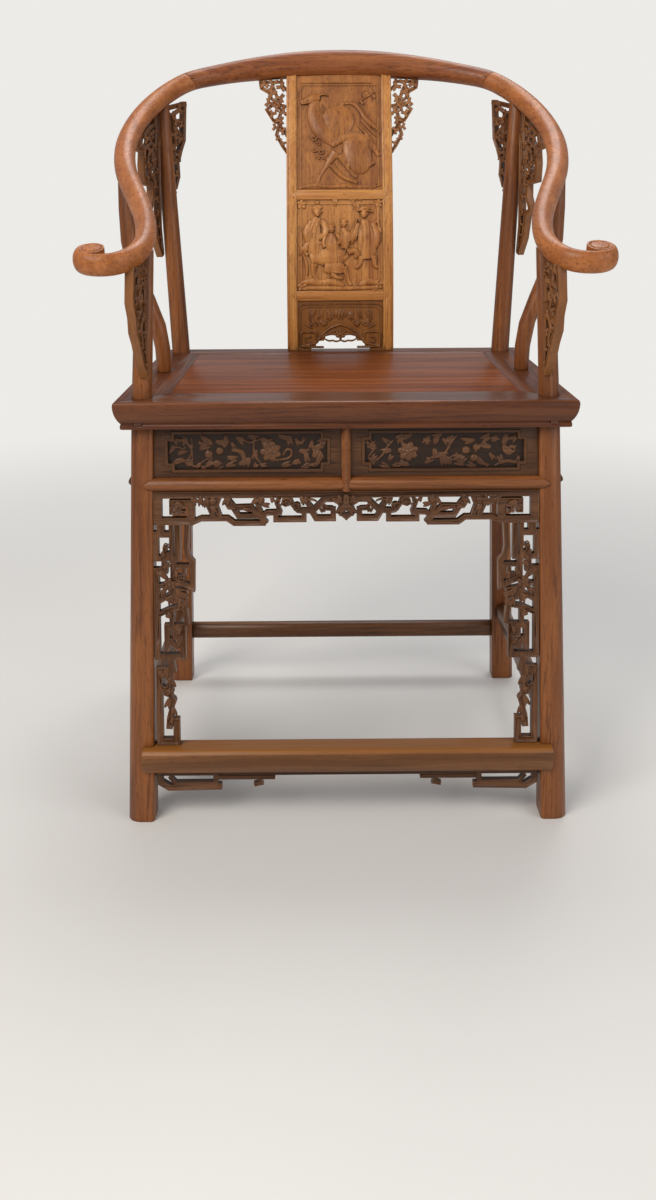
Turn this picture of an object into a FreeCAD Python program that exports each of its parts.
import FreeCAD, Part
import math
import os
import Sketcher

# Horseshoe-back armchair with an openwork apron, in millimetres.
# The origin is on the floor under the middle of the whole chair, +Z is up, and the chair faces -Y.
# Left is -X. Left-hand pieces are built, and right-hand ones mirror them.

Vector = FreeCAD.Vector
doc = FreeCAD.newDocument("HorseshoeArmchair")
sheet = doc.addObject("Spreadsheet::Sheet", "Sizes")

SIZES = (
    ("seat_width", 560.0),
    ("seat_depth", 460.0),
    ("seat_height", 532.0),
    ("seat_thickness", 35.0),
    ("seat_setback", 40.0),
    ("frame_width", 62.0),
    ("frame_nose", 4.0),
    ("frame_undercut", 9.0),
    ("frame_bead", 6.0),
    ("panel_thickness", 12.0),
    ("tongue_thickness", 6.0),
    ("tongue_length", 8.0),
    ("batten_width", 38.0),
    ("batten_height", 18.0),
    ("batten_spacing", 220.0),
    ("corner_tenon_width", 11.0),
    ("corner_tenon_height", 12.0),
    ("corner_tenon_length", 26.0),
    ("peg_size", 9.5),
    ("peg_inset", 29.0),
    ("peg_lift", 4.0),

    ("leg_inset_x", 31.0),
    ("leg_inset_y", 35.0),
    ("leg_splay_x", 9.0),
    ("leg_splay_y", 12.0),
    ("leg_foot", 34.0),
    ("leg_top", 28.0),
    ("front_post", 25.0),
    ("front_post_top", 22.0),
    ("rear_post", 27.5),
    ("rear_post_top", 23.0),
    ("rear_post_bow", 3.0),

    ("rail_half_width", 309.0),
    ("rail_run", 542.0),
    ("rail_low", 698.0),
    ("rail_rise", 285.0),
    ("rail_thick", 30.0),
    ("crest_height", 46.0),
    ("crest_depth", 38.0),
    ("grip_height", 28.0),
    ("grip_width", 20.0),
    ("scroll_radius", 17.0),
    ("scroll_height", 26.0),
    ("scroll_edge", 3.0),
    ("scroll_half_width", 297.0),
    ("scroll_setback", 25.0),
    ("curl_radius", 22.0),
    ("curl_half_width", 293.0),
    ("curl_setback", 13.5),
    ("lap_length", 55.0),
    ("pin_size", 6.0),
    ("post_tenon", 12.0),
    ("post_tenon_rise", 4.0),

    ("side_post_foot", 20.0),
    ("side_post_middle", 24.0),
    ("side_post_top", 21.0),
    ("side_post_spread", 499.0),
    ("side_post_sweep", 42.0),
    ("side_post_tenon_length", 20.0),

    ("splat_width", 166.0),
    ("splat_thickness", 16.0),
    ("splat_setback", 29.0),
    ("splat_height", 450.0),
    ("splat_lean", 74.0),
    ("stile_width", 16.0),
    ("crossbar_height", 15.0),
    ("crossbar_tip", 8.0),
    ("lower_bar_rise", 79.0),
    ("middle_panel_height", 142.0),
    ("splat_panel_thickness", 9.0),
    ("splat_panel_recess", 3.0),
    ("splat_tongue", 4.0),
    ("splat_bead", 2.5),
    ("splat_bead_proud", 1.2),
    ("splat_bead_margin", 5.0),
    ("stile_tenon_length", 14.0),
    ("flange_width", 44.0),
    ("flange_height", 118.0),
    ("flange_thickness", 9.0),
    ("arch_height", 30.0),

    ("inner_spandrel_reach", 36.0),
    ("outer_spandrel_reach", 56.0),
    ("rear_spandrel_height", 232.0),
    ("front_spandrel_reach", 42.0),
    ("front_spandrel_height", 150.0),
    ("spandrel_thickness", 10.0),

    ("frieze_height", 63.0),
    ("frieze_rail_height", 17.0),
    ("frieze_rail_depth", 22.0),
    ("frieze_rail_proud", 4.0),
    ("frieze_tip_gap", 2.0),
    ("frieze_panel_thickness", 10.0),
    ("frieze_panel_recess", 6.0),
    ("frieze_ground_depth", 3.0),
    ("frieze_bead", 3.5),
    ("frieze_bead_proud", 1.2),
    ("frieze_margin_x", 14.0),
    ("frieze_margin_z", 6.0),
    ("frieze_notch", 8.0),
    ("strut_width", 11.0),
    ("strut_proud", 2.0),
    ("frieze_tenon_height", 8.0),
    ("frieze_tenon_thickness", 8.0),
    ("frieze_tenon_length", 12.0),

    ("apron_height", 43.0),
    ("apron_thickness", 10.0),
    ("apron_recess", 2.0),
    ("strip_width", 54.0),
    ("plain_apron_height", 34.0),
    ("plain_apron_thickness", 9.0),

    ("footrest_underside", 66.0),
    ("footrest_height", 31.0),
    ("footrest_depth", 34.0),
    ("footrest_proud", 15.0),
    ("footrest_band", 13.0),
    ("footrest_slant", 9.0),
    ("footrest_end_gap", 3.0),
    ("foot_apron_height", 31.0),
    ("foot_apron_thickness", 8.0),
    ("foot_apron_recess", 8.0),
    ("stretcher_height", 26.0),
    ("stretcher_depth", 20.0),
    ("rear_stretcher_underside", 68.0),
    ("side_stretcher_underside", 102.0),
    ("stretcher_tenon_length", 16.0),
    ("stretcher_tenon_height", 14.0),
    ("stretcher_tenon_thickness", 9.0),

    ("clearance", 0.15),
    ("overrun", 6.0),
)

# The rail's centreline from the middle of the crest to the grip, as shares of half its width, its run and its rise,
# then how much of the section is crest, and how much is grip.
RAIL_SHARES = (
    (0.000, 1.000, 1.000, 1.00, 0.0),
    (0.226, 0.996, 0.993, 0.85, 0.0),
    (0.443, 0.980, 0.968, 0.45, 0.0),
    (0.613, 0.956, 0.935, 0.15, 0.0),
    (0.761, 0.915, 0.893, 0.00, 0.0),
    (0.883, 0.849, 0.796, 0.00, 0.0),
    (0.974, 0.737, 0.655, 0.00, 0.0),
    (1.000, 0.657, 0.565, 0.00, 0.0),
    (1.000, 0.581, 0.484, 0.00, 0.0),
    (0.961, 0.489, 0.385, 0.00, 0.0),
    (0.910, 0.413, 0.313, 0.00, 0.1),
    (0.860, 0.334, 0.244, 0.00, 0.2),
    (0.820, 0.264, 0.186, 0.00, 0.3),
    (0.792, 0.190, 0.130, 0.00, 0.4),
    (0.781, 0.116, 0.078, 0.00, 0.5),
    (0.803, 0.047, 0.032, 0.00, 0.7),
    (0.866, 0.008, 0.005, 0.00, 0.9),
    (0.945, 0.000, 0.000, 0.00, 1.0),
)
JOINT_ROW = 4
REAR_POST_ROW = 5
SIDE_POST_ROW = 9
FRONT_POST_ROW = 14

# The side post's sweep: shares of its height, of its outward sweep, and of its fullest section.
SIDE_POST_SHARES = ((0.00, 0.00), (0.12, 0.03), (0.24, 0.16), (0.38, 0.48), (0.50, 0.76), (0.66, 0.94), (0.82, 0.99), (1.00, 1.00))

# The splat's lean: shares of its height and of how far its top leans back.
SPLAT_SHARES = ((0.00, 0.05), (0.25, 0.00), (0.50, 0.18), (0.74, 0.52), (1.00, 1.00))

# How many straight runs the splat's curve is planed in.
SPLAT_RUNS = 10

# How many sides an oval section and a round tenon are shaved to.
OVAL_SIDES = 12

# How many flats a leg's rounded corner is planed in.
CORNER_RUNS = 4

# The radius of a half-round edge, as a share of half its width.
ROUND_SHARE = 1.04

# A half-round face, shaved in flats: shares of its radius behind the crown, and of its height.
HALF_ROUND_SHARES = ((1.00, 1.00), (0.60, 0.96), (0.26, 0.82), (0.06, 0.62), (0.06, 0.38), (0.26, 0.18), (0.60, 0.04), (1.00, 0.00))

# The openwork is drawn on grids. Each path is a ribbon: its width, then its corners, in grid squares.
# The front strips: columns run from the leg towards the opening, rows run down from the apron.
STRIP_GRID = (45.0, 214.0)
STRIP_SHARES = (
    (8.0, ((10, -2), (10, 8))),
    (6.0, ((20, 8), (5, 8), (5, 31), (27, 31), (27, -2))),
    (4.5, ((20.5, -2), (21, 27), (14, 27), (14, 20))),
    (5.5, ((37, -2), (35.5, 21), (37.5, 30), (42, 35), (41.5, 60), (31, 55), (22, 52))),
    (6.5, ((22.5, 32), (22.5, 53))),
    (4.5, ((22, 39), (40, 39))),
    (4.0, ((33, 39), (33, 49), (27, 49))),
    (5.5, ((13, 31), (13, 43))),
    (6.0, ((17, 43), (5, 43), (5, 127), (31, 127), (31, 98), (15, 98), (15, 122))),
    (5.0, ((8, 58), (18, 57), (27, 70), (34, 82), (36, 96))),
    (5.0, ((5, 74), (16, 68), (24, 62), (34, 64), (34, 72))),
    (5.0, ((6, 86), (20, 80), (33, 78))),
    (5.0, ((20, 80), (20, 97))),
    (5.0, ((17, 110), (25, 120))),
    (4.5, ((23, 98), (23, 108), (30, 108))),
    (6.5, ((18, 128), (20, 140), (6, 141), (6, 211), (23, 211), (23, 191), (16, 191), (15.5, 198))),
    (5.0, ((19, 141), (15, 160), (20, 172), (16, 186), (20, 192))),
    (5.0, ((6, 156), (16, 162))),
)
STRIP_DISC_SHARES = ((5.5, (18, 57)), (6.0, (25, 68)), (6.0, (15, 161)), (4.5, (19, 171)))

# The front apron's left half: columns run from the leg to the middle, rows run down from the frieze rail.
APRON_GRID = (191.0, 36.0)
APRON_SHARES = (
    (7.0, ((-2, 3.5), (193, 3.5))),
    (8.5, ((4, 3), (4, 31))),
    (7.0, ((0, 31), (34, 31), (37.5, 27), (37.5, 12.5), (19, 12.5), (19, 24))),
    (4.0, ((26, 15), (26, 22), (31, 22))),
    (5.0, ((36, 33.5), (47, 28.5), (73, 28.5), (80, 33.5), (111, 33.5))),
    (5.0, ((112, 34), (105, 26), (96, 17), (78, 17.5))),
    (5.0, ((79, 17.5), (84, 26), (104, 26))),
    (5.0, ((56, 5), (54, 14), (60, 28))),
    (4.5, ((66, 5), (62, 16), (66, 28))),
    (4.5, ((71, 5), (80, 17))),
    (5.0, ((107, 27.5), (112, 23), (127, 22.5))),
    (5.0, ((121, 23), (121, 30), (149, 30), (149, 21), (158, 21))),
    (4.5, ((106, 5), (103, 14), (107, 24))),
    (4.0, ((126, 5), (122, 13), (126, 23))),
    (4.0, ((134, 5), (138, 15), (143, 21), (149, 22))),
    (5.5, ((185, 14), (183, 9), (170, 9), (157, 22), (161, 29), (178, 29), (178, 18))),
    (4.0, ((178, 19), (169, 18.5), (168, 22))),
    (5.0, ((154, 5), (152, 12), (158, 20))),
    (5.0, ((193, 4), (187, 14), (184, 22), (193, 29))),
)
APRON_DISC_SHARES = ((4.5, (61, 12.5)), (4.0, (74, 12)), (4.0, (106, 11)), (4.5, (131, 12)), (4.5, (142, 17)), (5.0, (191, 16)))

# The footrest's apron, left half.
FOOT_APRON_GRID = (191.0, 25.0)
FOOT_APRON_SHARES = (
    (9.0, ((-2, 4), (193, 4))),
    (6.0, ((4, 5), (5, 16), (14, 21.5), (66, 20.5))),
    (3.5, ((14, 10), (20, 17), (58, 17))),
    (5.0, ((60, 8), (60, 21))),
    (4.0, ((60, 11), (119, 11))),
    (3.5, ((102, 12), (105, 17.5), (98, 19))),
)

# The splat's flanges: columns run outwards from the stile, rows run down from the rail.
FLANGE_GRID = (28.0, 74.0)
FLANGE_SHARES = (
    (4.0, ((28, -8), (25, 9), (18, 13))),
    (3.2, ((7, -8), (4, 7), (-1, 12))),
    (3.2, ((18, 13), (14, 7), (11, 14), (7, 26), (-1, 28))),
    (3.2, ((18, 13), (15, 20), (11, 23), (20, 31), (13, 42), (7, 45))),
    (3.2, ((11, 23), (5, 32), (8, 40), (12, 42))),
    (3.4, ((7, 45), (10, 56), (4, 67), (-1, 74))),
    (3.0, ((8, 45), (2, 52), (-1, 58))),
    (3.0, ((26, 3), (6, 3))),
)

# The rear posts' inner brackets: columns run from the post towards the splat, rows run down from the rail.
INNER_SPANDREL_GRID = (26.0, 148.0)
INNER_SPANDREL_SHARES = (
    (5.0, ((-3, 4), (26, -2))),
    (4.0, ((24, -4), (22, 34), (17, 44), (14, 52))),
    (4.0, ((-3, 36), (6, 30), (8, 8))),
    (3.5, ((22, 14), (9, 22), (20, 32), (8, 40))),
    (3.5, ((8, 30), (6, 52), (12, 56), (13, 70), (9, 80), (4, 76), (4, 58))),
    (4.0, ((14, 44), (14, 54), (8, 54))),
    (3.5, ((8, 78), (5, 88), (4, 110), (6, 118), (3, 126), (0, 148))),
    (5.0, ((-3, 52), (2, 60), (2, 128), (-1, 148))),
)

# The rear posts' outer brackets: columns run from the post along the arm, rows run down from the rail.
OUTER_SPANDREL_GRID = (42.0, 148.0)
OUTER_SPANDREL_SHARES = (
    (6.0, ((-4, 2), (20, 8), (40, 24))),
    (5.0, ((38, 10), (40, 38), (44, 44), (34, 46), (36, 60), (34, 76), (18, 78))),
    (4.5, ((10, 6), (10, 38), (20, 46), (14, 60), (24, 66), (12, 76))),
    (4.0, ((12, 20), (26, 26), (38, 34))),
    (4.0, ((26, 26), (20, 38), (36, 46))),
    (4.0, ((24, 46), (28, 60), (34, 60))),
    (5.0, ((18, 78), (18, 92), (24, 104), (16, 110), (10, 132), (0, 148))),
    (5.0, ((-3, 30), (4, 40), (4, 120), (0, 146))),
    (4.0, ((4, 92), (16, 90))),
    (4.0, ((4, 110), (18, 106))),
)

# The front posts' brackets under the grips: columns run forwards, rows run down from the arm.
FRONT_SPANDREL_GRID = (40.0, 100.0)
FRONT_SPANDREL_SHARES = (
    (6.0, ((34, 2), (36, 10), (40, 38), (33, 50), (31, 62), (22, 72), (12, 88), (0, 100))),
    (5.0, ((-4, 12), (10, 8), (22, 12), (36, 14))),
    (4.5, ((22, -1), (20, 8), (26, 24), (38, 30))),
    (4.5, ((-4, 28), (12, 24), (22, 34), (16, 46), (32, 50))),
    (4.5, ((-4, 52), (10, 50), (18, 60), (14, 72), (22, 74))),
    (5.0, ((-4, 20), (4, 30), (4, 80), (0, 98))),
)


class Size:
    """A length that knows its value and the sheet expression that gives it."""

    def __init__(self, value, text):
        self.value = value
        self.text = text

    def __add__(self, other):
        return Size(self.value + float(other), "(%s + %s)" % (self.text, words(other)))

    def __radd__(self, other):
        return self + other

    def __sub__(self, other):
        return Size(self.value - float(other), "(%s - %s)" % (self.text, words(other)))

    def __rsub__(self, other):
        return Size(float(other) - self.value, "(%s - %s)" % (words(other), self.text))

    def __mul__(self, other):
        return Size(self.value * float(other), "(%s * %s)" % (self.text, words(other)))

    def __rmul__(self, other):
        return self * other

    def __truediv__(self, other):
        return Size(self.value / float(other), "(%s / %s)" % (self.text, words(other)))

    def __neg__(self):
        return Size(-self.value, "(0 - %s)" % self.text)

    def __float__(self):
        return self.value


def words(number):
    return number.text if isinstance(number, Size) else "%.9g" % number


class Sizes:
    """Writes the driving dimensions into the sheet and gives them back by name."""

    def __init__(self, table):
        for row, (name, value) in enumerate(table, 1):
            sheet.set("A%d" % row, name)
            sheet.set("B%d" % row, str(value))
            sheet.setAlias("B%d" % row, name)
        doc.recompute()
        for name, _ in table:
            setattr(self, name, Size(float(sheet.get(name)), "Sizes." + name))


s = Sizes(SIZES)
nodes = {}
counter = {}


def fresh(label):
    """A document name for a construction object, numbered where the label is used again."""
    counter[label] = counter.get(label, 0) + 1
    return "%s_%d" % (label, counter[label])


def bind(thing, prop, length):
    if isinstance(length, Size):
        thing.setExpression(prop, length.text)
        return
    owner, _, last = prop.rpartition(".")
    if not owner:
        setattr(thing, prop, length)


def place(thing, x=0, y=0, z=0, rotation=None):
    thing.Placement = FreeCAD.Placement(Vector(float(x), float(y), float(z)), rotation or FreeCAD.Rotation())
    for axis, length in (("x", x), ("y", y), ("z", z)):
        bind(thing, "Placement.Base." + axis, length)
    return thing


def box(label, x0, x1, y0, y1, z0, z1):
    solid = doc.addObject("Part::Box", fresh(label))
    bind(solid, "Length", x1 - x0)
    bind(solid, "Width", y1 - y0)
    bind(solid, "Height", z1 - z0)
    return place(solid, x0, y0, z0)


def rod(label, radius, height, x, y, z, rotation=None):
    """A round pin or tenon, shaved to even sides."""
    solid = doc.addObject("Part::Prism", fresh(label))
    solid.Polygon = OVAL_SIDES
    bind(solid, "Circumradius", radius)
    bind(solid, "Height", height)
    return place(solid, x, y, z, rotation or FreeCAD.Rotation(Vector(0, 0, 1), 180 / OVAL_SIDES))


def fuse(label, parts):
    joined = doc.addObject("Part::MultiFuse", fresh(label))
    joined.Shapes = parts
    joined.Refine = True
    return joined


def cut(label, base, tools):
    """The base less each tool; the tools may overlap one another."""
    if len(tools) > 1:
        tool = doc.addObject("Part::MultiFuse", fresh(label + "_tools"))
        tool.Shapes = tools
    else:
        tool = tools[0]
    less = doc.addObject("Part::Cut", fresh(label))
    less.Base = base
    less.Tool = tool
    less.Refine = True
    return less


def common(label, base, tool):
    both = doc.addObject("Part::Common", fresh(label))
    both.Base = base
    both.Tool = tool
    both.Refine = True
    return both


def mirrored(label, source, normal=(1, 0, 0)):
    other = doc.addObject("Part::Mirroring", fresh(label))
    other.Source = source
    other.Normal = Vector(*normal)
    return other


def node(label, thing):
    thing.Label = label
    nodes[label] = thing
    return thing


def pair(name, left):
    """Registers a left-hand piece and its mirror image."""
    node(name + "_left", left)
    node(name + "_right", mirrored(name, left))


def outline(sketch, corners):
    """Draws a closed outline whose corners are bound to the sheet. A corner with a third value starts an arc of that
    radius, to the left of its chord."""
    count = len(corners)
    ends = []
    for index, corner in enumerate(corners):
        ahead = corners[(index + 1) % count]
        start = Vector(float(corner[0]), float(corner[1]), 0)
        end = Vector(float(ahead[0]), float(ahead[1]), 0)
        if len(corner) == 2:
            ends.append((sketch.addGeometry(Part.LineSegment(start, end)), 1, 2))
            continue
        chord = end - start
        middle = (start + end) * 0.5
        across = Vector(-chord.y, chord.x, 0).normalize()
        radius = float(corner[2])
        centre = middle + across * math.sqrt(max(radius ** 2 - (chord.Length / 2) ** 2, 0))
        first = math.atan2(start.y - centre.y, start.x - centre.x)
        last = math.atan2(end.y - centre.y, end.x - centre.x)
        arc = Part.ArcOfCircle(Part.Circle(centre, Vector(0, 0, 1), radius), first, last)
        ends.append((sketch.addGeometry(arc), 1, 2))
        bound = sketch.addConstraint(Sketcher.Constraint("Radius", ends[-1][0], radius))
        bind(sketch, "Constraints[%d]" % bound, corner[2])
    for index in range(count):
        edge, ahead = ends[index], ends[(index + 1) % count]
        sketch.addConstraint(Sketcher.Constraint("Coincident", edge[0], edge[2], ahead[0], ahead[1]))
    for (edge, first, _), corner in zip(ends, corners):
        for kind, length in (("DistanceX", corner[0]), ("DistanceY", corner[1])):
            bound = sketch.addConstraint(Sketcher.Constraint(kind, -1, 1, edge, first, float(length)))
            if isinstance(length, Size):
                sketch.setExpression("Constraints[%d]" % bound, length.text)


def add_sketch(body, label, plane, corners):
    sketch = body.newObject("Sketcher::SketchObject", fresh(label + "_sketch"))
    origin = [face for face in body.Origin.OriginFeatures if face.Role == plane][0]
    sketch.AttachmentSupport = [(origin, "")]
    sketch.MapMode = "FlatFace"
    outline(sketch, corners)
    return sketch


def prism(label, plane, corners, length):
    """A body whose outline on an origin plane is padded evenly to both sides."""
    body = doc.addObject("PartDesign::Body", fresh(label))
    pad = body.newObject("PartDesign::Pad", fresh(label + "_pad"))
    pad.Profile = add_sketch(body, label, plane, corners)
    pad.SideType = "Symmetric"
    bind(pad, "Length", length)
    return body


def pocket(body, label, plane, corners, length):
    hole = body.newObject("PartDesign::Pocket", fresh(label + "_pocket"))
    hole.Profile = add_sketch(body, label, plane, corners)
    hole.SideType = "Symmetric"
    bind(hole, "Length", length)
    return body


def rounded_wire(corners, height):
    """A closed wire in a level plane, with each square corner planed round in short flats."""
    points = [Vector(float(x), float(y), float(height)) for x, y, _ in corners]
    turn = math.pi / 2 / CORNER_RUNS
    loop = []
    for index, (_, _, radius) in enumerate(corners):
        here = points[index]
        back = (points[index - 1] - here).normalize() * float(radius)
        ahead = (points[(index + 1) % len(points)] - here).normalize() * float(radius)
        middle = here + back + ahead
        loop += [middle - ahead * math.cos(turn * k) - back * math.sin(turn * k) for k in range(CORNER_RUNS + 1)]
    return Part.makePolygon(loop + loop[:1])


def oval(label, centre, across, upward, width, height):
    """A section of even sides round an ellipse."""
    middle = Vector(*[float(v) for v in centre])
    turn = 2 * math.pi / OVAL_SIDES
    points = []
    for k in range(OVAL_SIDES):
        angle = turn * (k + 0.5)
        points.append(middle + across * (float(width) / 2 * math.cos(angle)) + upward * (float(height) / 2 * math.sin(angle)))
    section = doc.addObject("Part::Feature", fresh(label))
    section.Shape = Part.makePolygon(points + points[:1])
    return section


def ruled(label, sections):
    """A solid with straight runs from each section to the next."""
    loft = doc.addObject("Part::Loft", fresh(label))
    loft.Sections = sections
    loft.Solid = True
    loft.Ruled = True
    return loft


def ribbon(points, width):
    """A flat strip of even width along a path of straight runs, with mitred corners."""
    half = width / 2
    sides = ([], [])
    for index, here in enumerate(points):
        runs = []
        if index:
            runs.append((here - points[index - 1]).normalize())
        if index + 1 < len(points):
            runs.append((points[index + 1] - here).normalize())
        normals = [Vector(-run.y, run.x, 0) for run in runs]
        across = sum(normals[1:], normals[0]).normalize()
        reach = half / max(across.dot(normals[0]), 0.5)
        sides[0].append(here + across * reach)
        sides[1].append(here - across * reach)
    loop = sides[0] + sides[1][::-1]
    return Part.Face(Part.makePolygon(loop + loop[:1]))


def disc(centre, radius, sides=8):
    turn = -2 * math.pi / sides
    corners = [centre + Vector(math.cos(turn * k), math.sin(turn * k), 0) * radius for k in range(sides)]
    return Part.Face(Part.makePolygon(corners + corners[:1]))


def openwork(label, paths, discs, grid, width, height, thickness):
    """Ribbons and discs drawn on a grid of the given real size, and padded to a thickness.
    Columns run along local X, and rows run down."""
    column = float(width) / grid[0]
    row = float(height) / grid[1]

    def at(corner):
        return Vector(corner[0] * column, -corner[1] * row, 0)

    faces = [ribbon([at(corner) for corner in path], breadth * column) for breadth, path in paths]
    faces += [disc(at(centre), breadth * column) for breadth, centre in discs]
    blocks = [face.extrude(Vector(0, 0, float(thickness))) for face in faces]
    joined = blocks[0].fuse(blocks[1:]).removeSplitter()
    flat = [face for face in joined.Faces if face.BoundBox.ZMax < float(thickness) / 2]
    drawing = doc.addObject("Part::Feature", fresh(label + "_outline"))
    drawing.Shape = flat[0] if len(flat) == 1 else Part.makeCompound(flat)
    carved = doc.addObject("Part::Extrusion", fresh(label))
    carved.Base = drawing
    carved.DirMode = "Custom"
    carved.Dir = Vector(0, 0, 1)
    carved.Solid = True
    bind(carved, "LengthFwd", thickness)
    return carved


def standing(x_axis, z_axis=(0, 0, 1)):
    """The rotation that takes local X along x_axis and local Y along z_axis."""
    along = Vector(*x_axis)
    upward = Vector(*z_axis)
    return FreeCAD.Rotation(along, upward, along.cross(upward), "XYZ")


# Places that several pieces share.
rail_front = (s.grip_width - s.crest_depth) / 4 - s.rail_run / 2
front_plane = rail_front - s.grip_width / 2
seat_front = front_plane + s.seat_setback
seat_back = seat_front + s.seat_depth
seat_side = s.seat_width / 2
seat_under = s.seat_height - s.seat_thickness
leg_x = seat_side - s.leg_inset_x
front_leg_y = seat_front + s.leg_inset_y
rear_leg_y = seat_back - s.leg_inset_y
frieze_low = seat_under - s.frieze_height
frieze_rail_low = frieze_low - s.frieze_rail_height
footrest_top = s.footrest_underside + s.footrest_height


def leg_share(height):
    """How much of the splay is left at a height: 1 at the floor, 0 under the seat."""
    return (seat_under - height) / seat_under


def leg_axis_x(height):
    return leg_x + s.leg_splay_x * leg_share(height)


def front_leg_axis_y(height):
    return front_leg_y - s.leg_splay_y * leg_share(height)


def rear_leg_axis_y(height):
    return rear_leg_y + s.leg_splay_y * leg_share(height)


def leg_half(height):
    return (s.leg_top + (s.leg_foot - s.leg_top) * leg_share(height)) / 2


def rail_point(row, side=-1):
    x, y, z = RAIL_SHARES[row][:3]
    return (side * x * s.rail_half_width, rail_front + y * s.rail_run, s.rail_low + z * s.rail_rise)


def rail_slope():
    """The rail's fall towards the grips, per unit of depth."""
    back, front = RAIL_SHARES[FRONT_POST_ROW], RAIL_SHARES[-1]
    return (back[2] - front[2]) * float(s.rail_rise) / ((back[1] - front[1]) * float(s.rail_run))


def rail_stations():
    """Centres and section sizes along the whole rail, from the left grip round to the right one."""
    half = []
    for x, y, z, crest, grip in RAIL_SHARES:
        centre = (x * s.rail_half_width, rail_front + y * s.rail_run, s.rail_low + z * s.rail_rise)
        plain = 1 - crest - grip
        height = s.rail_thick * plain + s.crest_height * crest + s.grip_height * grip
        depth = s.rail_thick * plain + s.crest_depth * crest + s.grip_width * grip
        half.append((centre, height, depth))
    left_half = [((-centre[0], centre[1], centre[2]), height, depth) for centre, height, depth in half[:0:-1]]
    return left_half + half


def rail_frame(row_index, centres):
    """The section plane's axes at a station: across the rail, upwards, and along it."""
    back = centres[max(row_index - 1, 0)]
    ahead = centres[min(row_index + 1, len(centres) - 1)]
    along = (ahead - back).normalize()
    slope = Vector(0, -rail_slope(), 1).normalize()
    across = slope.cross(along).normalize()
    upward = along.cross(across).normalize()
    return across, upward, along


def make_rail():
    stations = rail_stations()
    centres = [Vector(*[float(v) for v in centre]) for centre, _, _ in stations]
    sections = []
    for index, (centre, height, depth) in enumerate(stations):
        across, upward, along = rail_frame(index, centres)
        sections.append(oval("rail_section", centre, across, upward, depth, height))
    return ruled("rail_blank", sections)


def make_scroll():
    """The left grip's round head, and the curl of the arm that it sits in."""
    upward = Vector(0, -rail_slope(), 1).normalize()
    across = Vector(1, 0, 0)
    drums = []
    for radius, half_width, setback in ((s.scroll_radius, s.scroll_half_width, s.scroll_setback),
                                        (s.curl_radius, s.curl_half_width, s.curl_setback)):
        middle = Vector(-float(half_width), float(rail_front + setback), float(s.rail_low + setback * rail_slope()))
        rings = []
        for level, rim in ((-1, radius - s.scroll_edge), (-1, radius), (1, radius), (1, radius - s.scroll_edge)):
            edge = s.scroll_edge if rim.value == radius.value else 0 * s.scroll_edge
            centre = middle + upward * (level * float(s.scroll_height / 2 - edge))
            rings.append(oval("scroll_ring", centre, across, upward.cross(across), 2 * rim, 2 * rim))
        drums.append(ruled("scroll", rings))
    return drums


def joint_frame(side):
    stations = rail_stations()
    centres = [Vector(*[float(v) for v in centre]) for centre, _, _ in stations]
    middle = len(RAIL_SHARES) - 1
    index = middle + JOINT_ROW
    across, upward, along = rail_frame(index, centres)
    if side < 0:
        across = Vector(-across.x, across.y, across.z)
        upward = Vector(-upward.x, upward.y, upward.z)
        along = Vector(-along.x, along.y, along.z)
    return rail_point(JOINT_ROW, side), across, upward, along


def arm_region(side):
    """The space that an arm takes at its scarf: the whole section beyond the lap, and the lower half along it."""
    centre, across, upward, along = joint_frame(side)
    turn = FreeCAD.Rotation(along, across * side, upward, "XYZ")
    reach = s.rail_run + s.rail_rise
    beyond = doc.addObject("Part::Box", fresh("arm_beyond"))
    under = doc.addObject("Part::Box", fresh("arm_under"))
    for tool, x0, length, y0, width, z0, height in (
            (beyond, s.lap_length / 2, reach, -reach, 2 * reach, -reach, 2 * reach),
            (under, -s.lap_length / 2, s.lap_length, -s.crest_height, 2 * s.crest_height, -s.crest_height, s.crest_height)):
        bind(tool, "Length", length)
        bind(tool, "Width", width)
        bind(tool, "Height", height)
        base = Vector(*[float(v) for v in centre]) + turn.multVec(Vector(float(x0), float(y0), float(z0)))
        tool.Placement = FreeCAD.Placement(base, turn)
    return fuse("arm_region", [beyond, under])


def scarf_pin(side, grow):
    centre, across, upward, along = joint_frame(side)
    length = s.rail_thick * 0.84
    turn = FreeCAD.Rotation(along, across * side, upward, "XYZ")
    pin = rod("scarf_pin", s.pin_size / 2 + grow, length, 0, 0, 0)
    base = Vector(*[float(v) for v in centre]) - upward * (float(length) / 2)
    pin.Placement = FreeCAD.Placement(base, turn)
    return pin


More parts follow.
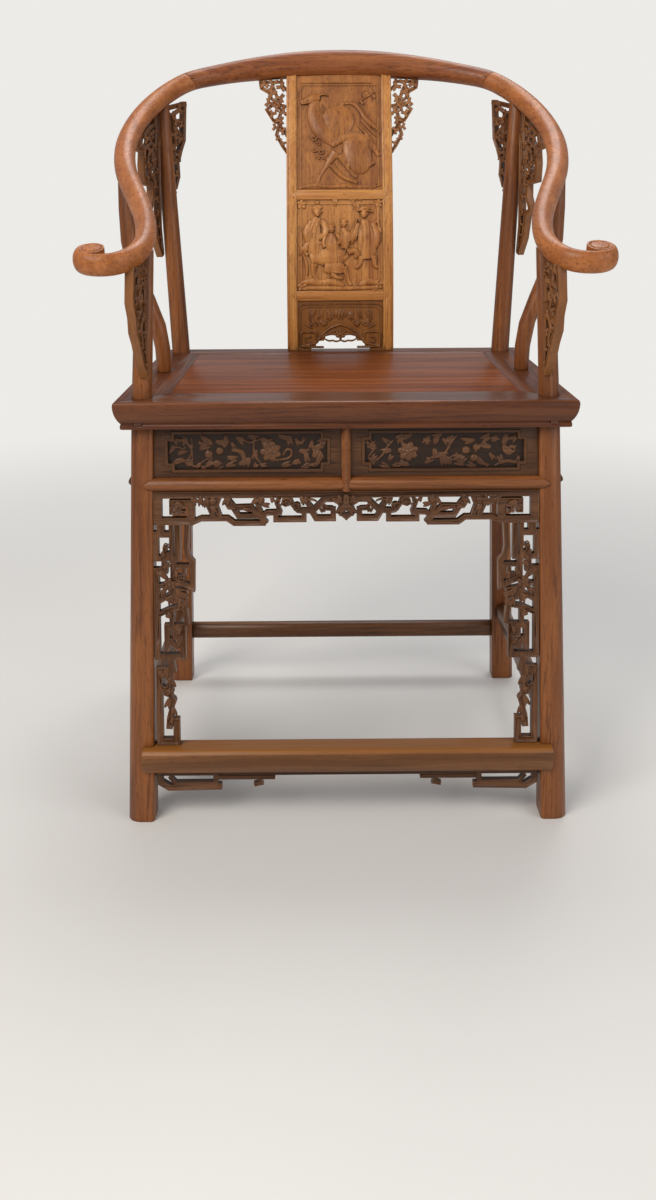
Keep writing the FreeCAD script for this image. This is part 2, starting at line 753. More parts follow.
def leg_blank(label, end):
    """A left leg from the floor to the rail, in one timber: end is -1 in front and 1 behind."""
    wires = []
    for height in (0 * s.seat_height, seat_under):
        half = leg_half(height)
        axis_y = front_leg_axis_y(height) if end < 0 else rear_leg_axis_y(height)
        outer_x, inner_x = -leg_axis_x(height) - half, -leg_axis_x(height) + half
        outer_y, inner_y = axis_y + end * half, axis_y - end * half
        corners = [(outer_x, outer_y, 0.96 * half), (inner_x, outer_y, 0.3 * half), (inner_x, inner_y, 0.12 * half),
                   (outer_x, inner_y, 0.6 * half)]
        wire = doc.addObject("Part::Feature", fresh(label + "_section"))
        wire.Shape = rounded_wire(corners if end < 0 else corners[::-1], height)
        wires.append(wire)
    lower = ruled(label + "_lower", wires)

    foot_y = front_leg_y if end < 0 else rear_leg_y
    thick, thin = (s.front_post, s.front_post_top) if end < 0 else (s.rear_post, s.rear_post_top)
    top = rail_point(FRONT_POST_ROW if end < 0 else REAR_POST_ROW)
    bow = 0 * s.rear_post_bow if end < 0 else s.rear_post_bow
    level = (Vector(1, 0, 0), Vector(0, 1, 0))
    rings = [oval(label + "_ring", (-leg_x, foot_y, seat_under), *level, thick, thick)]
    for share, swell in ((0, 0), (0.25, 0.8), (0.5, 1), (0.75, 0.8), (1, 0)):
        if end < 0 and 0 < share < 1:
            continue
        thickness = thick + (thin - thick) * share
        centre = (-leg_x + (top[0] + leg_x) * share, foot_y + (top[1] - foot_y) * share - bow * swell,
                  s.seat_height + (top[2] - s.seat_height) * share)
        rings.append(oval(label + "_ring", centre, *level, thickness, thickness))
    return lower, ruled(label + "_post", rings), top


def leg_tenon(label, top, grow):
    """The round tenon on a post's top, upright in the rail."""
    length = s.rail_thick + s.post_tenon_rise + grow
    return rod(label + "_tenon", s.post_tenon / 2 + grow, length, top[0], top[1], top[2] - s.rail_thick)


def frame_member(label, length, turn, x, y):
    """A seat frame member with a moulded outer edge, a groove for the panel inside, and mitred ends.
    Its inner edge lies on local Y = 0 and its top on local Z = 0."""
    face = s.frame_width
    groove_top = s.tongue_thickness - s.panel_thickness
    profile = [
        (0 * face, 0 * face),
        (0 * face, groove_top + s.clearance),
        (s.tongue_length, groove_top + s.clearance),
        (s.tongue_length, -s.panel_thickness - s.clearance),
        (0 * face, -s.panel_thickness - s.clearance),
        (0 * face, -s.seat_thickness),
        (face - s.frame_undercut + s.frame_bead / 4, -s.seat_thickness),
        (face - s.frame_undercut + s.frame_bead / 4, s.frame_bead - s.seat_thickness),
        (face - s.frame_undercut, s.frame_bead - s.seat_thickness, s.seat_thickness),
        (face, -s.frame_nose, s.frame_nose),
        (face - s.frame_nose, 0 * face),
    ]
    body = prism(label, "YZ_Plane", profile, length)
    half = length / 2
    for side in (-1, 1):
        mitre = [
            (side * (half - face - s.overrun), -s.overrun),
            (side * (half + s.overrun), -s.overrun),
            (side * (half + s.overrun), face + s.overrun),
        ]
        pocket(body, label + "_mitre", "XY_Plane", mitre, 2 * s.seat_thickness + 2 * s.overrun)
    return place(body, x, y, s.seat_height, FreeCAD.Rotation(Vector(0, 0, 1), turn))


def corner_tenon(end, grow):
    """The left side member's tenon into the front (-1) or rear (1) member, beside the post."""
    inner_x = -seat_side + s.frame_width - s.tongue_length / 4
    start_y = seat_front + s.frame_width if end < 0 else seat_back - s.frame_width
    far = s.frame_width / 4 + s.corner_tenon_length + grow
    near = s.corner_tenon_length / 2
    y0, y1 = (start_y - far, start_y + near) if end < 0 else (start_y - near, start_y + far)
    z0 = seat_under + s.frame_bead
    return box("corner_tenon", inner_x - s.corner_tenon_width - grow, inner_x + grow, y0, y1,
               z0 - grow, z0 + s.corner_tenon_height + grow)


def corner_peg(grow):
    x0 = -seat_side + s.peg_inset - s.peg_size / 2
    z0 = seat_under + s.peg_lift
    y0 = seat_front + s.frame_undercut - s.frame_bead / 4
    y1 = front_leg_y - s.front_post / 2 - s.clearance
    return box("corner_peg", x0 - grow, x0 + s.peg_size + grow, y0 - grow, y1 + 4 * grow, z0 - grow, z0 + s.peg_size + grow)


def batten_tenon(x, end, grow):
    start = seat_front + s.frame_width if end < 0 else seat_back - s.frame_width
    reach = s.frame_width / 5 + grow
    y0, y1 = (start - reach, start + reach) if end < 0 else (start - reach, start + reach)
    z0 = s.seat_height - s.panel_thickness - s.batten_height
    half = s.batten_width / 4 + grow
    return box("batten_tenon", x - half, x + half, y0, y1, z0 - grow, z0 + s.batten_height / 2 + grow)


def make_seat(post_holes, peg_tools, splat_tools, side_post_tools):
    """The seat frame, its floating panel and the battens beneath."""
    inner_front, inner_back = seat_front + s.frame_width, seat_back - s.frame_width
    inner_side = seat_side - s.frame_width
    left_x = -s.batten_spacing / 2
    front_tenon, rear_tenon = batten_tenon(left_x, -1, s.clearance), batten_tenon(left_x, 1, s.clearance)
    corner_front, corner_rear = corner_tenon(-1, s.clearance), corner_tenon(1, s.clearance)

    front = frame_member("seat_front_rail", s.seat_width, 180, 0, inner_front)
    tools = [post_holes[0], corner_front, front_tenon, peg_tools]
    node("seat_front_rail", cut("seat_front_rail", front, tools + [mirrored("hole", tool) for tool in tools]))
    rear = frame_member("seat_rear_rail", s.seat_width, 0, 0, inner_back)
    tools = [post_holes[1], corner_rear, rear_tenon]
    tools = tools + [mirrored("hole", tool) for tool in tools] + splat_tools
    node("seat_rear_rail", cut("seat_rear_rail", rear, tools))

    middle_y = (seat_front + seat_back) / 2
    side = frame_member("seat_side_rail", s.seat_depth, 90, -inner_side, middle_y)
    joined = fuse("seat_side_rail", [side, corner_tenon(-1, 0 * s.clearance), corner_tenon(1, 0 * s.clearance)])
    pair("seat_side_rail", cut("seat_side_rail", joined, post_holes + side_post_tools))

    gap = s.clearance
    board = box("seat_board", -inner_side + gap, inner_side - gap, inner_front + gap, inner_back - gap,
                s.seat_height - s.panel_thickness, s.seat_height)
    reach = s.tongue_length - gap
    tongue = box("seat_tongue", -inner_side - reach, inner_side + reach, inner_front - reach, inner_back + reach,
                 s.seat_height - s.panel_thickness, s.seat_height - s.panel_thickness + s.tongue_thickness)
    node("seat_panel", fuse("seat_panel", [board, tongue]))

    bar = box("batten", left_x - s.batten_width / 2, left_x + s.batten_width / 2, inner_front, inner_back,
              s.seat_height - s.panel_thickness - s.batten_height, s.seat_height - s.panel_thickness)
    flat = 0 * s.clearance
    pair("seat_batten", fuse("seat_batten", [bar, batten_tenon(left_x, -1, flat), batten_tenon(left_x, 1, flat)]))


def make_side_post(rail):
    """The swept post between the side member and the arm."""
    top = rail_point(SIDE_POST_ROW)
    foot_x = -s.side_post_spread / 2
    rise = top[2] - s.seat_height
    rings = []
    for share, sweep in SIDE_POST_SHARES:
        thick = s.side_post_foot + (s.side_post_middle - s.side_post_foot) * min(share * 2.6, 1)
        if share > 0.4:
            thick = s.side_post_middle + (s.side_post_top - s.side_post_middle) * ((share - 0.4) / 0.6)
        centre = (foot_x + (top[0] - foot_x) * sweep, top[1], s.seat_height + rise * share)
        rings.append(oval("side_post_ring", centre, Vector(1, 0, 0), Vector(0, 1, 0), thick, thick))
    coped = cut("side_post_coped", ruled("side_post", rings), [rail])
    foot = side_post_foot_tenon(0 * s.clearance)
    joined = fuse("side_post", [coped, foot, leg_tenon("side_post", top, 0 * s.clearance)])
    pair("side_post", joined)


def side_post_foot_tenon(grow):
    top = rail_point(SIDE_POST_ROW)
    length = s.side_post_tenon_length + grow
    return rod("side_post_foot_tenon", s.post_tenon / 2 + grow, length + s.side_post_foot / 4,
               -s.side_post_spread / 2, top[1], s.seat_height - length)


splat_front = seat_back - s.splat_setback
splat_top = s.seat_height + s.splat_height
lower_bar_low = s.seat_height + s.lower_bar_rise
upper_bar_low = lower_bar_low + s.crossbar_height + s.middle_panel_height
stile_inner = s.splat_width / 2 - s.stile_width


def splat_slab(label, recess, thickness):
    """A curved board that follows the splat's lean, set back from its front face."""
    points = [Vector(0, float(splat_front + s.splat_lean * lean + recess), float(s.seat_height + s.splat_height * share))
              for share, lean in SPLAT_SHARES]
    depth = Vector(0, float(thickness), 0)
    curve = Part.BSplineCurve()
    curve.interpolate(points)
    front = curve.toShape().discretize(SPLAT_RUNS + 1)
    back = [point + depth for point in front[::-1]]
    side = doc.addObject("Part::Feature", fresh(label + "_side"))
    side.Shape = Part.Face(Part.makePolygon(front + back + front[:1]))
    slab = doc.addObject("Part::Extrusion", fresh(label + "_slab"))
    slab.Base = side
    slab.DirMode = "Custom"
    slab.Dir = Vector(1, 0, 0)
    slab.Solid = True
    slab.Symmetric = True
    bind(slab, "LengthFwd", s.splat_width + 2 * s.flange_width)
    return slab


def splat_block(label, x0, x1, z0, z1):
    """An upright block through the whole depth of the splat, for cutting its pieces out of a slab."""
    return box(label, x0, x1, splat_front - s.splat_lean, splat_front + 2 * s.splat_lean, z0, z1)


def splat_panel_blank(slab, low, high, grow):
    reach = stile_inner + s.splat_tongue + grow
    return common("splat_panel", slab, splat_block("splat_panel_block", -reach, reach, low - grow, high + grow))


def bead_ring(slab, x, low, high):
    ring = cut("bead_ring", splat_block("bead_outer", -x, x, low, high),
               [splat_block("bead_inner", -x + s.splat_bead, x - s.splat_bead, low + s.splat_bead, high - s.splat_bead)])
    return common("bead", slab, ring)


def stile_tenon(end, grow):
    """The tenons of the left stile: into the seat (-1) and into the rail (1)."""
    middle = -(s.splat_width - s.stile_width) / 2
    half = s.stile_width / 4 + grow
    if end < 0:
        front = splat_front + s.splat_lean * SPLAT_SHARES[0][1] + s.splat_thickness / 4
        z0, z1 = s.seat_height - s.stile_tenon_length - grow, s.seat_height + s.stile_tenon_length / 4
    else:
        front = splat_front + s.splat_lean + s.splat_thickness / 4 - s.splat_bead
        z0 = splat_top - s.crest_height
        z1 = splat_top + s.post_tenon_rise + grow
    return box("stile_tenon", middle - half, middle + half, front - grow, front + s.splat_thickness / 2 + grow, z0, z1)


def crossbar_blank(label, slab, low):
    """A bar whose pointed ends reach half-way into the stiles."""
    high = low + s.crossbar_height
    middle = low + s.crossbar_height / 2
    tip = stile_inner + s.crossbar_tip
    corners = [(-stile_inner, low), (stile_inner, low), (tip, middle), (stile_inner, high), (-stile_inner, high), (-tip, middle)]
    shape = prism(label + "_face", "XZ_Plane", corners, 4 * s.splat_lean)
    place(shape, 0, splat_front + s.splat_lean / 2, 0)
    return common(label, slab, shape)


ARCH_SHARES = ((0.74, 0.0), (0.74, 0.22), (0.62, 0.22), (0.62, 0.5), (0.42, 0.5), (0.36, 0.8), (0.14, 0.8), (0.08, 1.0))


def make_splat(rail):
    full = splat_slab("splat", 0 * s.clearance, s.splat_thickness)
    board = splat_slab("splat_board", s.splat_panel_recess, s.splat_panel_thickness)
    groove = splat_slab("splat_groove", s.splat_panel_recess - s.clearance, s.splat_panel_thickness + 2 * s.clearance)
    beads = splat_slab("splat_beads", s.splat_panel_recess - s.splat_bead_proud, s.splat_panel_thickness / 2)
    lean = splat_slab("flange", s.splat_panel_recess + s.splat_bead_proud, s.flange_thickness)

    spans = {
        "splat_upper_panel": (upper_bar_low + s.crossbar_height - s.splat_tongue, splat_top),
        "splat_middle_panel": (lower_bar_low + s.crossbar_height - s.splat_tongue, upper_bar_low + s.splat_tongue),
        "splat_lower_panel": (s.seat_height, lower_bar_low + s.splat_tongue),
    }
    grooves = []
    for label, (low, high) in spans.items():
        blank = splat_panel_blank(board, low, high, 0 * s.clearance)
        grooves.append(splat_panel_blank(groove, low, high, s.clearance))
        margin = s.splat_tongue + s.splat_bead_margin
        half = stile_inner - s.splat_bead_margin
        if label == "splat_lower_panel":
            arch = [(share * half, s.seat_height + rise * s.arch_height) for share, rise in ARCH_SHARES]
            corners = arch + [(-x, z) for x, z in arch[::-1]]
            corners[0] = (corners[0][0], s.seat_height - s.overrun)
            corners[-1] = (corners[-1][0], s.seat_height - s.overrun)
            opening = place(prism("splat_arch", "XZ_Plane", corners, 4 * s.splat_lean), 0, splat_front + s.splat_lean / 2, 0)
            node(label, cut(label, blank, [opening]))
            continue
        top = high - margin if label == "splat_middle_panel" else high - s.crest_height / 2 - margin
        beaded = fuse(label, [blank, bead_ring(beads, half, low + margin, top)])
        node(label, cut(label, beaded, [rail]) if label == "splat_upper_panel" else beaded)

    bars = [("splat_lower_crossbar", lower_bar_low), ("splat_upper_crossbar", upper_bar_low)]
    blanks = [crossbar_blank(label, full, low) for label, low in bars]
    for (label, _), blank in zip(bars, blanks):
        node(label, cut(label, blank, grooves))

    top = splat_top
    stile = common("splat_stile", full, splat_block("stile_block", -s.splat_width / 2, -stile_inner, s.seat_height, top))
    flat = 0 * s.clearance
    coped = cut("splat_stile_coped", stile, [rail])
    tenoned = fuse("splat_stile", [coped, stile_tenon(-1, flat), stile_tenon(1, flat)])
    pair("splat_stile", cut("splat_stile", tenoned, grooves + blanks))

    drawn = openwork("splat_flange", FLANGE_SHARES, (), FLANGE_GRID, s.flange_width, s.flange_height, 4 * s.splat_lean)
    place(drawn, -s.splat_width / 2, splat_front - s.splat_lean, splat_top - s.crest_height / 2, standing((-1, 0, 0)))
    side = splat_block("flange_side", -s.splat_width / 2 - 2 * s.flange_width, -s.splat_width / 2,
                       splat_top - 2 * s.flange_height, splat_top)
    flange = common("splat_flange", common("splat_flange", lean, drawn), side)
    pair("splat_flange", cut("splat_flange", flange, [rail]))


def make_spandrel(label, grid, paths, reach, height, row, bearing, post, rail):
    """An openwork bracket between a post and the underside of the rail, standing along a bearing."""
    top = rail_point(row)
    direction = Vector(math.sin(bearing), math.cos(bearing), 0)
    turn = standing(tuple(direction))
    normal = direction.cross(Vector(0, 0, 1))
    drawn = openwork(label, paths, (), grid, reach, height, s.spandrel_thickness)
    half_post = (s.rear_post_top if row == REAR_POST_ROW else s.front_post_top) / 2
    base = Vector(*[float(v) for v in top]) - normal * (float(s.spandrel_thickness) / 2) + direction * float(half_post)
    base.z = float(top[2] - s.rail_thick / 3)
    drawn.Placement = FreeCAD.Placement(base, turn)
    pair(label, cut(label, cut(label, drawn, [post]), [rail]))


def make_frieze_rail(label, width, height, end_gap, depth, y, blanks, turn=0, x=0):
    """A half-round rail whose pointed ends lap the legs. It is built facing -Y and turned to its side of the chair."""
    tip = width / 2 - end_gap
    shoulder = tip - 2 * depth / 4
    middle = height + s.frieze_rail_height / 2
    top = height + s.frieze_rail_height
    corners = [(-shoulder, height), (shoulder, height), (tip, middle), (shoulder, top), (-shoulder, top), (-tip, middle)]
    face = prism(label + "_face", "XZ_Plane", corners, 4 * depth)
    radius = s.frieze_rail_height / 2
    profile = [(depth, height), (depth, top)]
    profile += [(radius * behind, height + s.frieze_rail_height * level) for behind, level in HALF_ROUND_SHARES]
    bar = prism(label + "_bar", "YZ_Plane", profile, width)
    shape = common(label, face, bar)
    place(shape, x, y, 0, FreeCAD.Rotation(Vector(0, 0, 1), turn))
    return cut(label, shape, blanks)


def tenon(label, x0, x1, y0, y1, low, grow):
    return box(label, x0 - grow, x1 + grow, y0 - grow, y1 + grow, low - grow, low + s.frieze_tenon_height + grow)


def cartouche(x0, x1, z0, z1, notch):
    """A rectangle with square bites out of its corners."""
    return [(x0 + notch, z0), (x1 - notch, z0), (x1 - notch, z0 + notch), (x1, z0 + notch), (x1, z1 - notch),
            (x1 - notch, z1 - notch), (x1 - notch, z1), (x0 + notch, z1), (x0 + notch, z1 - notch), (x0, z1 - notch),
            (x0, z0 + notch), (x0 + notch, z0 + notch)]


def frieze_front_y():
    """Where the front legs' faces stand at the height of the frieze."""
    height = frieze_low
    return front_leg_axis_y(height) - leg_half(height)


def make_front_frieze(legs):
    """The front's half-round rail, the strut across it, and the two carved panels above."""
    face_y = frieze_front_y()
    rail_y = face_y - s.frieze_rail_proud
    width = 2 * leg_axis_x(frieze_rail_low)
    rail = make_frieze_rail("frieze_rail_front", width, frieze_rail_low, s.frieze_tip_gap, s.frieze_rail_depth, rail_y, legs)
    strut = make_strut(0 * s.clearance, rail_y)
    notch = make_strut(s.clearance, rail_y)
    tenons = [front_rail_tenon(side, 0 * s.clearance) for side in (-1, 1)]
    node("frieze_rail_front", cut("frieze_rail_front", fuse("frieze_rail_front", [rail] + tenons), [notch]))
    node("frieze_strut", strut)

    panel_y = face_y + s.frieze_panel_recess
    x0, x1 = -leg_axis_x(frieze_low), -s.strut_width / 2
    board = box("frieze_panel", x0, x1, panel_y, panel_y + s.frieze_panel_thickness, frieze_low, seat_under)
    edge = leg_axis_x(seat_under) - leg_half(seat_under)
    outer = (-edge + s.frieze_margin_x, x1 - s.frieze_margin_x, frieze_low + s.frieze_margin_z, seat_under - s.frieze_margin_z)
    bead = s.frieze_bead
    inner = (outer[0] + bead, outer[1] - bead, outer[2] + bead, outer[3] - bead)
    ring_face = prism("frieze_bead", "XZ_Plane", cartouche(*outer, s.frieze_notch), 2 * s.frieze_bead_proud)
    place(ring_face, 0, panel_y, 0)
    field = prism("frieze_field", "XZ_Plane", cartouche(*inner, s.frieze_notch), 2 * s.frieze_ground_depth)
    place(field, 0, panel_y, 0)
    pair("frieze_panel_front", cut("frieze_panel_front", fuse("frieze_panel_front", [board, ring_face]), [field] + legs))


def make_strut(grow, rail_y):
    half = s.strut_width / 2
    body = prism("frieze_strut", "XY_Plane", [
        (half + grow, half), (half + grow, s.frieze_rail_depth / 2 + grow), (-half - grow, s.frieze_rail_depth / 2 + grow),
        (-half - grow, half), (0 * half, 0 * half)], s.frieze_height + s.frieze_rail_height)
    return place(body, 0, rail_y - s.strut_proud, (frieze_rail_low + seat_under) / 2)


def front_rail_tenon(side, grow):
    height = frieze_rail_low
    inner = leg_axis_x(height) - leg_half(height)
    middle = front_leg_axis_y(height)
    half = s.frieze_tenon_thickness / 2
    near, far = inner - s.frieze_tenon_length, inner + s.frieze_tenon_length
    x0, x1 = (-far, -near) if side < 0 else (near, far)
    return tenon("front_rail_tenon", x0, x1, middle - half, middle + half, height + s.frieze_rail_height / 2
                 - s.frieze_tenon_height, grow)


def side_rail_tenon(end, grow):
    height = frieze_rail_low
    axis = front_leg_axis_y(height) if end < 0 else rear_leg_axis_y(height)
    inner = axis - end * leg_half(height)
    half = s.frieze_tenon_thickness / 2
    near, far = inner - end * s.frieze_tenon_length, inner + end * s.frieze_tenon_length
    y0, y1 = (far, near) if end < 0 else (near, far)
    middle = -leg_axis_x(height)
    low = height + s.frieze_rail_height / 2 + 2 * s.clearance
    return tenon("side_rail_tenon", middle - half, middle + half, y0, y1, low, grow)


def rear_rail_tenon(side, grow):
    height = frieze_rail_low
    inner = leg_axis_x(height) - leg_half(height)
    middle = rear_leg_axis_y(height)
    half = s.frieze_tenon_thickness / 2
    near, far = inner - s.frieze_tenon_length, inner + s.frieze_tenon_length
    x0, x1 = (-far, -near) if side < 0 else (near, far)
    return tenon("rear_rail_tenon", x0, x1, middle - half, middle + half, height + s.frieze_rail_height / 2
                 - s.frieze_tenon_height, grow)


PLAIN_APRON_SHARES = ((1.04, 0.0), (1.04, 1.0), (0.88, 1.0), (0.85, 0.70), (0.72, 0.52), (0.30, 0.52))


def plain_apron(label, half, low_edge, y, x, turn, legs):
    """A plain board with stepped ends, under a frieze rail. It is drawn facing -Y and turned to its side."""
    right = [(half * share, low_edge - s.plain_apron_height * drop) for share, drop in PLAIN_APRON_SHARES]
    corners = right + [(-x_, z) for x_, z in right[::-1]]
    board = prism(label, "XZ_Plane", corners, s.plain_apron_thickness)
    place(board, x, y, 0, FreeCAD.Rotation(Vector(0, 0, 1), turn))
    return cut(label, board, legs)


def make_side_and_rear_frieze(front_legs, rear_legs):
    """The plain friezes of the two sides and the rear: rail, board and apron."""
    height = frieze_rail_low
    proud = s.frieze_rail_proud
    front_axis, rear_axis = front_leg_axis_y(height), rear_leg_axis_y(height)
    middle_y = (front_axis + rear_axis) / 2
    span = rear_axis - front_axis
    left_x = -leg_axis_x(height) - leg_half(height)
    flat = 0 * s.clearance
    left_legs = [front_legs[0], rear_legs[0]]

    rail = make_frieze_rail("frieze_rail_side", span, height, s.frieze_tip_gap, s.frieze_rail_depth, middle_y, left_legs,
                            -90, left_x - proud)
    pair("frieze_rail_side", fuse("frieze_rail_side", [rail, side_rail_tenon(-1, flat), side_rail_tenon(1, flat)]))
    board_x = left_x + s.frieze_panel_recess
    board = box("frieze_panel_side", board_x, board_x + s.frieze_panel_thickness, front_axis, rear_axis, frieze_low, seat_under)
    pair("frieze_panel_side", cut("frieze_panel_side", board, left_legs))
    apron_x = left_x + s.apron_recess + s.plain_apron_thickness
    pair("apron_side", plain_apron("apron_side", span / 2 - s.leg_top / 2, height, middle_y, apron_x, -90, left_legs))

    rear_y = rear_leg_axis_y(height) + leg_half(height)
    rail = make_frieze_rail("frieze_rail_rear", 2 * leg_axis_x(height), height, s.frieze_tip_gap, s.frieze_rail_depth,
                            rear_y + proud, rear_legs, 180)
    tenons = [rear_rail_tenon(side, flat) for side in (-1, 1)]
    node("frieze_rail_rear", fuse("frieze_rail_rear", [rail] + tenons))
    board_y = rear_y - s.frieze_panel_recess - s.frieze_panel_thickness
    board = box("frieze_panel_rear", -leg_axis_x(frieze_low), leg_axis_x(frieze_low), board_y,
                board_y + s.frieze_panel_thickness, frieze_low, seat_under)
    node("frieze_panel_rear", cut("frieze_panel_rear", board, rear_legs))
    half = leg_axis_x(height) - leg_half(height)
    node("apron_rear", plain_apron("apron_rear", half, height, rear_y - s.apron_recess - s.plain_apron_thickness, 0, 180,
                                   rear_legs))


def make_front_aprons(legs):
    """The openwork apron under the frieze rail and the two openwork strips down the legs."""
    height = frieze_rail_low
    lean = standing((1, 0, 0), (0, float(s.leg_splay_y), float(seat_under)))
    half = leg_axis_x(height) - leg_half(height)
    back_y = front_leg_axis_y(height) - leg_half(height) + s.apron_recess + s.apron_thickness
    drawn = openwork("apron_front", APRON_SHARES, APRON_DISC_SHARES, APRON_GRID, half, s.apron_height, s.apron_thickness)
    place(drawn, -half, back_y, height, lean)
    under_rail = box("apron_top_edge", -leg_axis_x(height), leg_axis_x(height), back_y - 2 * s.frieze_rail_depth,
                     back_y + s.frieze_rail_depth, height, height + s.frieze_rail_height)
    whole = fuse("apron_front", [drawn, mirrored("apron_front", drawn)])
    apron = cut("apron_front", whole, legs + [under_rail])
    node("apron_front", apron)

    top = height - s.apron_height
    strip_height = top - footrest_top
    strip = openwork("apron_strip", STRIP_SHARES, STRIP_DISC_SHARES, STRIP_GRID, s.strip_width, strip_height, s.apron_thickness)
    inner = leg_axis_x(footrest_top) - leg_half(footrest_top)
    back_y = front_leg_axis_y(top) - leg_half(top) + s.apron_recess + s.apron_thickness
    place(strip, -inner, back_y, top, lean)
    floor = box("strip_foot", -leg_axis_x(footrest_top), 0 * inner, back_y - 3 * s.apron_thickness, back_y + s.apron_thickness,
                footrest_top - s.frieze_rail_height, footrest_top)
    pair("apron_strip", cut("apron_strip", strip, [legs[0], apron, floor]))


def footrest_tenon(side, grow):
    height = s.footrest_underside + s.stretcher_tenon_height / 2
    inner = leg_axis_x(height) - leg_half(height)
    middle = front_leg_axis_y(height)
    half = s.stretcher_tenon_thickness / 2
    near, far = inner - s.stretcher_tenon_length / 2, inner + s.stretcher_tenon_length
    x0, x1 = (-far, -near) if side < 0 else (near, far)
    return box("footrest_tenon", x0 - grow, x1 + grow, middle - half - grow, middle + half + grow,
               height - grow, height + s.stretcher_tenon_height + grow)


def make_footrest(legs):
    top = footrest_top
    middle = s.footrest_underside + s.footrest_height / 2
    front = front_leg_axis_y(middle) - leg_half(middle) - s.footrest_proud
    back = front + s.footrest_depth
    profile = [(front, top - s.footrest_band), (front + s.footrest_slant, s.footrest_underside), (back, s.footrest_underside),
               (back, top), (front + s.frame_nose, top), (front, top - s.frame_nose)]
    bar = prism("footrest", "YZ_Plane", profile, 2 * leg_axis_x(middle) - 2 * s.footrest_end_gap)
    coped = cut("footrest", bar, legs)
    node("footrest", fuse("footrest", [coped] + [footrest_tenon(side, 0 * s.clearance) for side in (-1, 1)]))

    height = s.footrest_underside
    half = leg_axis_x(height) - leg_half(height)
    back_y = front_leg_axis_y(height) - leg_half(height) + s.foot_apron_recess + s.foot_apron_thickness
    drawn = openwork("footrest_apron", FOOT_APRON_SHARES, (), FOOT_APRON_GRID, half, s.foot_apron_height,
                     s.foot_apron_thickness)
    place(drawn, -half, back_y, height, standing((1, 0, 0)))
    whole = fuse("footrest_apron", [drawn, mirrored("footrest_apron", drawn)])
    node("footrest_apron", cut("footrest_apron", whole, legs + [bar]))


def stretcher_profile(low):
    half = s.stretcher_depth / 2
    shoulder = low + s.stretcher_height - half
    return [(-half, low + half / 4), (-half + half / 4, low), (half - half / 4, low), (half, low + half / 4),
            (half, shoulder, half * ROUND_SHARE), (-half, shoulder)]


def stretcher_tenon(side, end, low, grow):
    """The tenon of a side stretcher (end is the leg it enters), or of the rear one (side is the leg)."""
    height = low + (s.stretcher_height - s.stretcher_tenon_height) / 2
    half = s.stretcher_tenon_thickness / 2
    inner_x = leg_axis_x(height) - leg_half(height)
    reach = s.stretcher_tenon_length
    if end == 0:
        middle = rear_leg_axis_y(height)
        near, far = inner_x - reach / 2, inner_x + reach
        x0, x1 = (-far, -near) if side < 0 else (near, far)
        y0, y1 = middle - half, middle + half
    else:
        axis = front_leg_axis_y(height) if end < 0 else rear_leg_axis_y(height)
        inner = axis - end * leg_half(height)
        near, far = inner - end * reach / 2, inner + end * reach
        y0, y1 = (far, near) if end < 0 else (near, far)
        x0, x1 = -leg_axis_x(height) - half, -leg_axis_x(height) + half
    return box("stretcher_tenon", x0 - grow, x1 + grow, y0 - grow, y1 + grow, height - grow,
               height + s.stretcher_tenon_height + grow)


def make_stretchers(front_legs, rear_legs):
    flat = 0 * s.clearance
    low = s.rear_stretcher_underside
    bar = prism("rear_stretcher", "YZ_Plane", stretcher_profile(low), 2 * leg_axis_x(low))
    place(bar, 0, rear_leg_axis_y(low), 0)
    coped = cut("rear_stretcher", bar, rear_legs)
    node("rear_stretcher", fuse("rear_stretcher", [coped] + [stretcher_tenon(side, 0, low, flat) for side in (-1, 1)]))

    low = s.side_stretcher_underside
    front_axis, rear_axis = front_leg_axis_y(low), rear_leg_axis_y(low)
    bar = prism("side_stretcher", "YZ_Plane", stretcher_profile(low), rear_axis - front_axis)
    place(bar, -leg_axis_x(low), (front_axis + rear_axis) / 2, 0, FreeCAD.Rotation(Vector(0, 0, 1), 90))
    coped = cut("side_stretcher", bar, [front_legs[0], rear_legs[0]])
    pair("side_stretcher", fuse("side_stretcher", [coped, stretcher_tenon(-1, -1, low, flat), stretcher_tenon(-1, 1, low, flat)]))


def make_legs(rail):
    """Four legs with their posts, and the same legs before mortising, for coping what meets them."""
    grow = s.clearance
    blanks = []
    for end, name in ((-1, "front_leg"), (1, "rear_leg")):
        lower, post, top = leg_blank(name, end)
        coped = cut(name + "_post", post, [rail])
        blank = fuse(name + "_blank", [lower, coped])
        tools = [side_rail_tenon(end, grow), stretcher_tenon(-1, end, s.side_stretcher_underside, grow)]
        if end < 0:
            tools += [front_rail_tenon(-1, grow), footrest_tenon(-1, grow)]
        else:
            tools += [rear_rail_tenon(-1, grow), stretcher_tenon(-1, 0, s.rear_stretcher_underside, grow)]
        tenoned = fuse(name, [blank, leg_tenon(name, top, 0 * grow)])
        pair(name, cut(name, tenoned, tools))
        blanks.append([blank, mirrored(name + "_blank", blank)])
    return blanks


def make_arms(rail):
    """The horseshoe rail in three lengths, scarfed together and pinned, with mortises for what carries it."""
    regions = [arm_region(side) for side in (-1, 1)]
    grow = s.clearance
    sockets = [leg_tenon("socket", rail_point(row), grow) for row in (FRONT_POST_ROW, REAR_POST_ROW, SIDE_POST_ROW)]
    pin_hole = scarf_pin(-1, grow)
    arm = common("arm_rail", rail, regions[0])
    pair("arm_rail", cut("arm_rail", arm, sockets + [pin_hole]))
    stile_sockets = [stile_tenon(1, grow)]
    tools = regions + [pin_hole, scarf_pin(1, grow)] + stile_sockets + [mirrored("socket", tool) for tool in stile_sockets]
    node("crest_rail", cut("crest_rail", rail, tools))
    pins = doc.addObject("Part::Compound", "scarf_pins")
    pins.Links = [scarf_pin(-1, 0 * grow), scarf_pin(1, 0 * grow)]
    node("scarf_pins", pins)


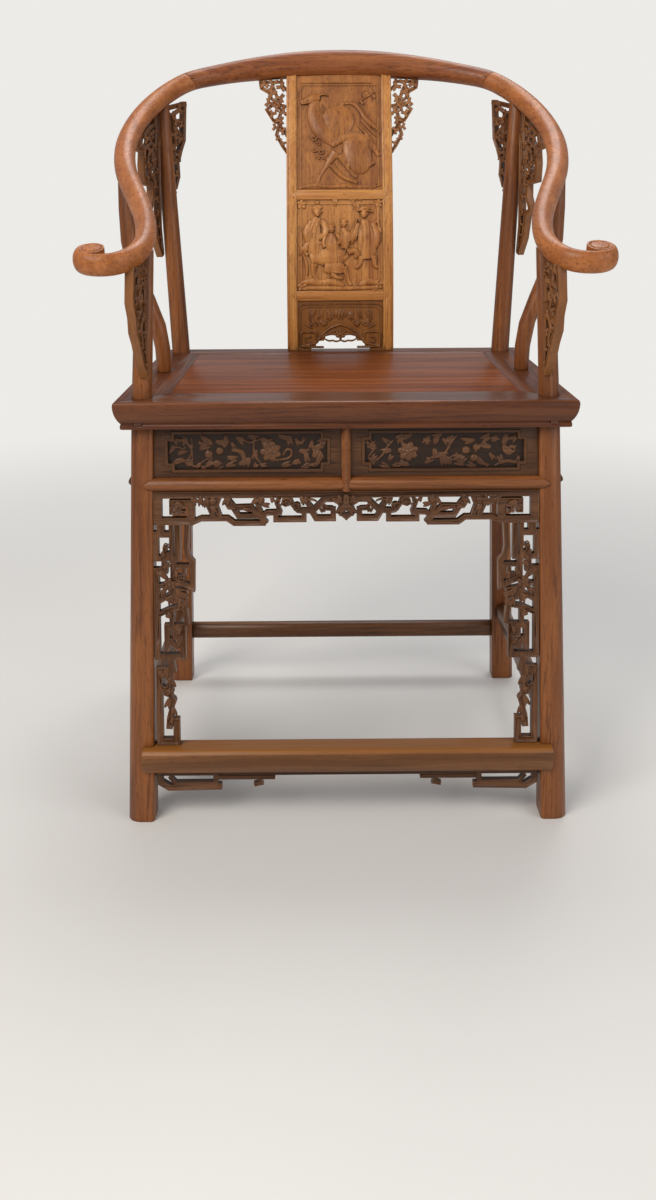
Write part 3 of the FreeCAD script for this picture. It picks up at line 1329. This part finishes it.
def build():
    loft = make_rail()
    heads = make_scroll()
    rail = fuse("rail_whole", [loft] + heads + [mirrored("scroll", head) for head in heads])
    front_legs, rear_legs = make_legs(rail)
    make_arms(rail)

    hole = [rod("post_hole", post / 2 + s.clearance, s.seat_thickness + 2 * s.overrun, -leg_x, y, seat_under - s.overrun)
            for post, y in ((s.front_post, front_leg_y), (s.rear_post, rear_leg_y))]
    stile_socket = stile_tenon(-1, s.clearance)
    make_seat(hole, corner_peg(s.clearance), [stile_socket, mirrored("socket", stile_socket)],
              [side_post_foot_tenon(s.clearance)])
    peg = corner_peg(0 * s.clearance)
    pegs = doc.addObject("Part::Compound", "corner_pegs")
    pegs.Links = [peg, mirrored("corner_peg", peg)]
    node("corner_pegs", pegs)

    make_side_post(rail)
    make_splat(rail)
    for name, grid, paths, reach, height, row, bearing, post in (
            ("rear_bracket_inner", INNER_SPANDREL_GRID, INNER_SPANDREL_SHARES, s.inner_spandrel_reach, s.rear_spandrel_height,
             REAR_POST_ROW, math.radians(41), rear_legs[0]),
            ("rear_bracket_outer", OUTER_SPANDREL_GRID, OUTER_SPANDREL_SHARES, s.outer_spandrel_reach, s.rear_spandrel_height,
             REAR_POST_ROW, math.radians(-156), rear_legs[0]),
            ("front_bracket", FRONT_SPANDREL_GRID, FRONT_SPANDREL_SHARES, s.front_spandrel_reach, s.front_spandrel_height,
             FRONT_POST_ROW, math.radians(-168), front_legs[0])):
        make_spandrel(name, grid, paths, reach, height, row, bearing, post, rail)
    make_front_frieze(front_legs)
    make_side_and_rear_frieze(front_legs, rear_legs)
    make_front_aprons(front_legs)
    make_footrest(front_legs)
    make_stretchers(front_legs, rear_legs)


def write():
    """Checks every object and every sub-part, then writes one STEP file for each sub-part."""
    doc.recompute()
    for thing in doc.Objects:
        if "Invalid" in thing.State or "Error" in thing.State:
            raise RuntimeError("%s did not build: %s" % (thing.Name, thing.State))
    for label, thing in nodes.items():
        shape = thing.Shape
        if shape.isNull() or not shape.isValid() or not shape.Solids:
            raise RuntimeError("%s has no valid solid" % label)
    os.makedirs("parts", exist_ok=True)
    for label, thing in nodes.items():
        thing.Shape.exportStep(os.path.join("parts", label + ".step"))


build()
write()
